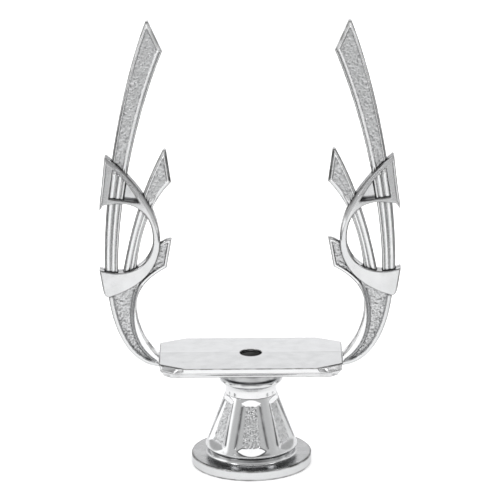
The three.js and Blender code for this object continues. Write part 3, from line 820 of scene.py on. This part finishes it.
def octagon_ring(half_length, half_depth, corner_x, corner_y, inset=0.0, softness=0.6):
    """Points round a rectangle with cut and rounded corners, one for each of TABLE_STEPS directions."""
    flat_x = half_length - corner_x
    flat_y = half_depth - corner_y
    corners = [(flat_x, -half_depth), (half_length, -flat_y), (half_length, flat_y), (flat_x, half_depth),
               (-flat_x, half_depth), (-half_length, flat_y), (-half_length, -flat_y), (-flat_x, -half_depth)]
    outline = filleted([(x, y, softness) for x, y in corners], 8)
    line = evenly(np.concatenate([outline, outline[:1]]), 0.05)
    tangent = np.roll(line, -1, axis=0) - np.roll(line, 1, axis=0)
    angles = np.arctan2(line[:, 1], line[:, 0])
    order = np.argsort(angles)
    radius = np.linalg.norm(line, axis=1)
    wanted = np.linspace(-math.pi, math.pi, TABLE_STEPS, endpoint=False)
    reach = np.interp(wanted, angles[order], radius[order], period=2 * math.pi)
    normal = np.stack([tangent[:, 1], -tangent[:, 0]], axis=1)
    normal /= np.maximum(np.linalg.norm(normal, axis=1), 1e-9)[:, None]
    parts = [np.interp(wanted, angles[order], normal[order, k], period=2 * math.pi) for k in range(2)]
    facing = np.stack(parts, 1)
    facing /= np.linalg.norm(facing, axis=1)[:, None]
    ring = np.stack([reach * np.cos(wanted), reach * np.sin(wanted)], axis=1)
    return ring - inset * facing


def circle_ring(radius):
    wanted = np.linspace(-math.pi, math.pi, TABLE_STEPS, endpoint=False)
    return radius * np.stack([np.cos(wanted), np.sin(wanted)], axis=1)


def lofted(name, rings):
    """A closed ring-shaped piece from (points, z, edge, bright) rings, the last joined back to the first."""
    filled = [np.broadcast_to(np.array(part, float), TABLE_STEPS) for points, *ring in rings for part in ring]
    z, edge, bright = (np.concatenate(filled[k::3]) for k in range(3))
    vertices = np.column_stack([np.concatenate([points for points, *ring in rings]), z])
    faces = []
    for row in range(len(rings)):
        below = row * TABLE_STEPS
        above = (row + 1) % len(rings) * TABLE_STEPS
        for i in range(TABLE_STEPS):
            j = (i + 1) % TABLE_STEPS
            faces.append((below + i, below + j, above + j, above + i))
    # Painted shade, with a matt finish, on the corner facets of the walls.
    on_corner = smooth(CORNER_START, CORNER_START + 0.8, np.abs(vertices[:, 0])) * (bright > 0)
    return mesh_object(name, vertices, faces, {"edge": edge, "bright": bright, "dull": 0.6 * on_corner})


def between(a, b, steps):
    """Rings spaced evenly from ring a to ring b, leaving out both."""
    return [a * (1 - t) + b * t for t in np.linspace(0, 1, steps + 2)[1:-1]]


def platform(plating):
    table = dict(half_length=30.0, half_depth=16.0, corner_x=8.5, corner_y=4.8)
    parting = dict(half_length=29.7, half_depth=15.8, corner_x=4.6, corner_y=3.4)
    underside = dict(half_length=28.6, half_depth=14.8, corner_x=2.4, corner_y=2.2)
    top_z, split, bottom_z = 37.8, 35.9, 34.1

    def crowned(points):
        """Height of the table: almost flat, falling slightly to both sides of its long middle line."""
        return top_z - 0.25 * np.abs(points[:, 1]) / 16.0

    seam = split + SEAM / 2
    lower = octagon_ring(**parting)
    upper = octagon_ring(**table)
    # The last two numbers of each ring are a painted dark line and a painted highlight.
    rings = [(octagon_ring(**parting, inset=0.08), seam, 0, 0.3), (lower, seam + 0.08, 0, 0.3)]
    for share in (0.2, 0.4, 0.6, 0.75):
        rings.append((lower * (1 - share) + upper * share, seam + share * (top_z - seam), 0, 0.3))
    rings.append((upper, top_z - 0.38, 0.4, 0.2))
    for inset, drop, edge in ((0.04, 0.22, 1), (0.13, 0.1, 1), (0.26, 0.03, 0.7), (0.42, 0.0, 0.2)):
        ring = octagon_ring(**table, inset=inset)
        rings.append((ring, crowned(ring) - drop, edge, 0))
    lip = circle_ring(3.85)
    middle = octagon_ring(**table, inset=0.6)
    # A painted dark line runs along the table's long middle line.
    for ring in [middle] + between(middle, lip, 40) + [lip]:
        rings.append((ring, crowned(ring), 0.35 * (np.abs(ring[:, 1]) < 0.01), 0))
    for radius, drop in ((3.74, 0.02), (3.66, 0.07), (3.61, 0.16)):
        rings.append((circle_ring(radius), top_z - drop, 0, 0))
    rings.append((circle_ring(3.6), 37.0, 0, 0))
    hollow = octagon_ring(28.0, 14.2, 8.0, 4.6)
    rings.append((hollow, 37.0, 0, 0))
    rings.append((hollow, seam, 0, 0))
    finish_piece(lofted("platform_top_plated", rings), "platform_top", plating)

    seam = split - SEAM / 2
    rings = [(circle_ring(5.3), bottom_z, 0, 0)]
    # Painted dark lines round the bottom edge and a painted highlight on the wall.
    for inset, rise, edge in ((0.5, 0, 0), (0.3, 0.04, 0.4), (0.13, 0.14, 0.6), (0.04, 0.3, 0.4), (0, 0.5, 0)):
        rings.append((octagon_ring(**underside, inset=inset), bottom_z + rise, edge, 0.3 * (rise > 0.2)))
    for inset, drop in ((0.35, 0.6), (0.1, 0.2), (0.02, 0.08), (0.08, 0)):
        rings.append((octagon_ring(**parting, inset=inset), seam - drop, 0, 0.3))
    rings += [(hollow, seam, 0, 0), (hollow, 35.2, 0, 0), (circle_ring(5.3), 35.2, 0, 0)]
    finish_piece(lofted("platform_base_plated", rings), "platform_base", plating)


# Materials

def node_material(name):
    material = bpy.data.materials.new(name)
    material.use_nodes = True
    nodes = material.node_tree.nodes
    links = material.node_tree.links
    return material, nodes, links, nodes["Principled BSDF"]


def noise(nodes, links, vector, scale, detail):
    texture = nodes.new("ShaderNodeTexNoise")
    texture.inputs["Scale"].default_value = scale
    texture.inputs["Detail"].default_value = detail
    links.new(vector, texture.inputs["Vector"])
    return texture.outputs["Fac"]


def remap(nodes, links, value, from_low, from_high, to_low, to_high):
    block = nodes.new("ShaderNodeMapRange")
    block.inputs["From Min"].default_value = from_low
    block.inputs["From Max"].default_value = from_high
    block.inputs["To Min"].default_value = to_low
    block.inputs["To Max"].default_value = to_high
    links.new(value, block.inputs["Value"])
    return block.outputs["Result"]


def math_node(nodes, links, operation, a, b):
    block = nodes.new("ShaderNodeMath")
    block.operation = operation
    for socket, value in zip(block.inputs, (a, b)):
        if isinstance(value, (int, float)):
            socket.default_value = value
        else:
            links.new(value, socket)
    return block.outputs[0]


def attribute(nodes, name):
    block = nodes.new("ShaderNodeAttribute")
    block.attribute_name = name
    return block.outputs["Fac"]


def plating_material():
    """Bright silver plating: glossy, cloudy in places and grainy on its panels, with painted shade in its
    hollows, under and between parts and on some faces, painted dark lines on its edges and ridges, and painted
    highlights.
    """
    material, nodes, links, shader = node_material("silver_plating")
    shader.inputs["Metallic"].default_value = 1.0
    shader.inputs["Specular Tint"].default_value = (0.85, 0.85, 0.86, 1)
    place = nodes.new("ShaderNodeTexCoord").outputs["Object"]
    grain = attribute(nodes, "grain")
    hollow = attribute(nodes, "hollow")
    cloud = noise(nodes, links, place, 260, 3)
    fine = noise(nodes, links, place, 2600, 2)

    tone = nodes.new("ShaderNodeMix")
    tone.data_type = "RGBA"
    tone.inputs["A"].default_value = (0.60, 0.605, 0.61, 1)
    tone.inputs["B"].default_value = (0.54, 0.545, 0.55, 1)
    links.new(cloud, tone.inputs["Factor"])
    # Painted shade in the hollows.
    dark = nodes.new("ShaderNodeMix")
    dark.data_type = "RGBA"
    dark.inputs["B"].default_value = (0.10, 0.10, 0.105, 1)
    links.new(tone.outputs["Result"], dark.inputs["A"])
    crease_shade = remap(nodes, links, hollow, 0.15, 1.0, 0.0, 0.6)
    links.new(crease_shade, dark.inputs["Factor"])
    # Painted shade on some faces, together with the grain's slight tone.
    grain_and_shade = nodes.new("ShaderNodeMix")
    grain_and_shade.data_type = "RGBA"
    grain_and_shade.inputs["B"].default_value = (0.36, 0.36, 0.365, 1)
    links.new(dark.outputs["Result"], grain_and_shade.inputs["A"])
    face_shade = math_node(nodes, links, "MULTIPLY", attribute(nodes, "dull"), 0.9)
    matt_share = math_node(nodes, links, "MULTIPLY", grain, 0.06)
    links.new(math_node(nodes, links, "MAXIMUM", face_shade, matt_share), grain_and_shade.inputs["Factor"])
    # Painted highlights.
    highlight_mix = nodes.new("ShaderNodeMix")
    highlight_mix.data_type = "RGBA"
    highlight_mix.inputs["B"].default_value = (0.90, 0.90, 0.905, 1)
    links.new(grain_and_shade.outputs["Result"], highlight_mix.inputs["A"])
    links.new(attribute(nodes, "bright"), highlight_mix.inputs["Factor"])
    # Painted dark lines along the edges and on proud ridges.
    edged = nodes.new("ShaderNodeMix")
    edged.data_type = "RGBA"
    edged.inputs["B"].default_value = (0.10, 0.098, 0.095, 1)
    links.new(highlight_mix.outputs["Result"], edged.inputs["A"])
    ridge_shade = remap(nodes, links, attribute(nodes, "proud"), 0.3, 1.2, 0.0, 0.5)
    broken = remap(nodes, links, noise(nodes, links, place, 330, 2), 0.4, 0.6, 0.5, 1.0)
    edge = math_node(nodes, links, "MULTIPLY", attribute(nodes, "edge"), broken)
    links.new(math_node(nodes, links, "MAXIMUM", ridge_shade, edge), edged.inputs["Factor"])
    # Painted shade under and between parts, in grooves, valleys and the throat.
    shade_mix = nodes.new("ShaderNodeMix")
    shade_mix.data_type = "RGBA"
    shade_mix.inputs["B"].default_value = (0.025, 0.025, 0.027, 1)
    links.new(edged.outputs["Result"], shade_mix.inputs["A"])
    patchy = remap(nodes, links, cloud, 0.35, 0.65, 0.55, 0.95)
    links.new(math_node(nodes, links, "MULTIPLY", attribute(nodes, "grime"), patchy), shade_mix.inputs["Factor"])
    links.new(shade_mix.outputs["Result"], shader.inputs["Base Color"])

    polish = remap(nodes, links, cloud, 0.3, 0.7, 0.11, 0.19)
    roughness = math_node(nodes, links, "ADD", polish, math_node(nodes, links, "MULTIPLY", grain, 0.16))
    matt = math_node(nodes, links, "MULTIPLY", attribute(nodes, "dull"), 0.25)
    links.new(math_node(nodes, links, "ADD", roughness, matt), shader.inputs["Roughness"])

    ripple = nodes.new("ShaderNodeBump")
    ripple.inputs["Strength"].default_value = 0.25
    ripple.inputs["Distance"].default_value = 0.00004
    links.new(noise(nodes, links, place, 420, 1), ripple.inputs["Height"])
    pitting = nodes.new("ShaderNodeBump")
    pitting.inputs["Distance"].default_value = 0.00006
    grainy = math_node(nodes, links, "MULTIPLY", grain, 0.7)
    links.new(math_node(nodes, links, "ADD", grainy, 0.04), pitting.inputs["Strength"])
    links.new(fine, pitting.inputs["Height"])
    links.new(ripple.outputs["Normal"], pitting.inputs["Normal"])
    links.new(pitting.outputs["Normal"], shader.inputs["Normal"])
    return material


def steel_material():
    """Plain zinc-plated steel of the hidden hardware, with turning marks."""
    material, nodes, links, shader = node_material("zinc_steel")
    shader.inputs["Metallic"].default_value = 1.0
    place = nodes.new("ShaderNodeTexCoord").outputs["Object"]
    cloud = noise(nodes, links, place, 500, 3)
    tone = nodes.new("ShaderNodeMix")
    tone.data_type = "RGBA"
    tone.inputs["A"].default_value = (0.52, 0.53, 0.54, 1)
    tone.inputs["B"].default_value = (0.66, 0.66, 0.65, 1)
    links.new(cloud, tone.inputs["Factor"])
    links.new(tone.outputs["Result"], shader.inputs["Base Color"])
    links.new(remap(nodes, links, cloud, 0.3, 0.7, 0.28, 0.45), shader.inputs["Roughness"])
    marks = nodes.new("ShaderNodeBump")
    marks.inputs["Strength"].default_value = 0.3
    marks.inputs["Distance"].default_value = 0.00003
    links.new(noise(nodes, links, place, 3000, 2), marks.inputs["Height"])
    links.new(marks.outputs["Normal"], shader.inputs["Normal"])
    return material


# Studio

FLOOR_REACH = 6.0
FLOOR_GLOW = 0.45  # the floor gives off light, so the object's shadow on it stays faint
# The sky isn't even. Its brightness against the sine of the elevation makes pale walls, a dark ring
# above them and a bright ceiling.
SKY = ((0.0, 0.36), (0.40, 0.31), (0.52, 0.055), (0.80, 0.055), (0.88, 0.66))
# Shares of that brightness, against the direction along Y (0 at the front, 1 at the back) and
# along X (0 at the left).
SKY_FRONT_TO_BACK = ((0.0, 0.48), (0.25, 0.5), (0.55, 0.62), (0.8, 0.82), (1.0, 0.86))
SKY_LEFT_TO_RIGHT = ((0.0, 1.1), (0.035, 1.1), (0.075, 0.0), (0.95, 0.0), (1.0, 0.75))
SKY_STRENGTH = 5.0
# Pale lanes between the grey wedges, one every eighth of a turn from the front: half the width of each.
LANES = (0.065, 0.04, 0.02, 0.04, 0.065, 0.04, 0.02, 0.04)
WEDGE_LENGTH = 0.7
WEDGE_HEIGHT = 0.0005


def matte(name, colour, glow=0.0):
    material, nodes, links, shader = node_material(name)
    shader.inputs["Base Color"].default_value = (colour, colour, colour, 1)
    shader.inputs["Roughness"].default_value = 0.9
    shader.inputs["Emission Color"].default_value = (1, 1, 1, 1)
    shader.inputs["Emission Strength"].default_value = glow
    return material


def staged(name, vertices, faces, material):
    mesh = bpy.data.meshes.new(name)
    mesh.from_pydata(vertices, [], faces)
    mesh.materials.append(material)
    thing = bpy.data.objects.new(name, mesh)
    bpy.context.scene.collection.objects.link(thing)
    return thing


def floor():
    reach = FLOOR_REACH
    corners = [(-reach, -reach, 0), (reach, -reach, 0), (reach, reach, 0), (-reach, reach, 0)]
    staged("floor", corners, [(0, 1, 2, 3)], matte("pale_floor", 0.9, FLOOR_GLOW))


def grey_wedges():
    """Grey paper wedges on the floor round the object, hidden from the camera and seen only as reflections.

    They give the plating's edges thin dark lines.
    """
    vertices = []
    faces = []
    turn = 2 * math.pi / len(LANES)
    for k, lane in enumerate(LANES):
        next_lane = LANES[(k + 1) % len(LANES)]
        edges = [np.array((math.sin(a), -math.cos(a))) for a in (k * turn, (k + 1) * turn)]
        tip = (next_lane * edges[0] + lane * edges[1]) / math.sin(turn)
        first = len(vertices)
        faces.append((first, first + 1, first + 2))
        points = (tip, *(tip + WEDGE_LENGTH * edge for edge in edges))
        vertices += [(*point, WEDGE_HEIGHT) for point in points]
    wedges = staged("grey_wedges", vertices, faces, matte("grey_paper", 0.12))
    wedges.visible_camera = False
    wedges.visible_diffuse = False
    wedges.visible_shadow = False


def sky():
    world = bpy.data.worlds.new("studio")
    bpy.context.scene.world = world
    world.use_nodes = True
    nodes = world.node_tree.nodes
    links = world.node_tree.links
    direction = nodes.new("ShaderNodeTexCoord").outputs["Generated"]
    split = nodes.new("ShaderNodeSeparateXYZ")
    links.new(direction, split.inputs[0])
    by_height = ramp_node(nodes, links, split.outputs["Z"], SKY)
    along_x = remap(nodes, links, split.outputs["X"], -1, 1, 0, 1)
    along_y = remap(nodes, links, split.outputs["Y"], -1, 1, 0, 1)
    round_about = math_node(nodes, links, "MAXIMUM", ramp_node(nodes, links, along_x, SKY_LEFT_TO_RIGHT),
                            ramp_node(nodes, links, along_y, SKY_FRONT_TO_BACK))
    brightness = math_node(nodes, links, "MULTIPLY", by_height, round_about)
    background = nodes["Background"]
    background.inputs["Color"].default_value = (1, 1, 1, 1)
    links.new(math_node(nodes, links, "MULTIPLY", brightness, SKY_STRENGTH), background.inputs["Strength"])


def ramp_node(nodes, links, value, stations):
    """A grey value that runs through (place, brightness) stations."""
    block = nodes.new("ShaderNodeValToRGB")
    stops = block.color_ramp.elements
    while len(stops) < len(stations):
        stops.new(0.5)
    for stop, (place, brightness) in zip(stops, stations):
        stop.position = place
        stop.color = (brightness, brightness, brightness, 1)
    links.new(value, block.inputs["Fac"])
    return block.outputs["Color"]


def softbox(name, place, size, energy):
    light = bpy.data.lights.new(name, "AREA")
    light.shape = "RECTANGLE"
    light.size, light.size_y = size
    light.energy = energy
    lamp = bpy.data.objects.new(name, light)
    lamp.location = place
    lamp.rotation_euler = (Vector(place) - AIM).to_track_quat("Z", "Y").to_euler()
    bpy.context.scene.collection.objects.link(lamp)


def studio():
    floor()
    grey_wedges()
    sky()
    softbox("left_softbox", (-1.1, -0.9, 1.1), (0.5, 0.5), 5)
    softbox("right_softbox", (1.2, -0.6, 1.2), (0.4, 0.4), 3)


CAMERA_DISTANCE = 1.3
FOCAL_LENGTH = 287.5
CAMERA_ELEVATION = math.radians(17.5)
CAMERA_ROLL = math.radians(0.43)
AIM = Vector((0, 0, 0.073))


def camera():
    lens = bpy.data.cameras.new("camera")
    lens.sensor_width = 36
    lens.lens = FOCAL_LENGTH
    viewer = bpy.data.objects.new("camera", lens)
    towards_viewer = Vector((0, -math.cos(CAMERA_ELEVATION), math.sin(CAMERA_ELEVATION)))
    viewer.location = AIM + CAMERA_DISTANCE * towards_viewer
    turn = towards_viewer.to_track_quat("Z", "Y").to_matrix().to_4x4()
    roll = Matrix.Rotation(-CAMERA_ROLL, 4, "Z")
    viewer.rotation_euler = (turn @ roll).to_euler()
    bpy.context.scene.collection.objects.link(viewer)
    bpy.context.scene.camera = viewer
    bpy.context.scene.view_settings.view_transform = "Standard"


plating = plating_material()
steel = steel_material()
foot(plating)
pedestal(plating)
capital(plating)
platform(plating)
build_arms(plating)
for name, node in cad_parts.items():
    if name.startswith(("tie_", "platform_screw")) or name.endswith("_pin"):
        node.data.materials.clear()
        node.data.materials.append(steel)
studio()
camera()
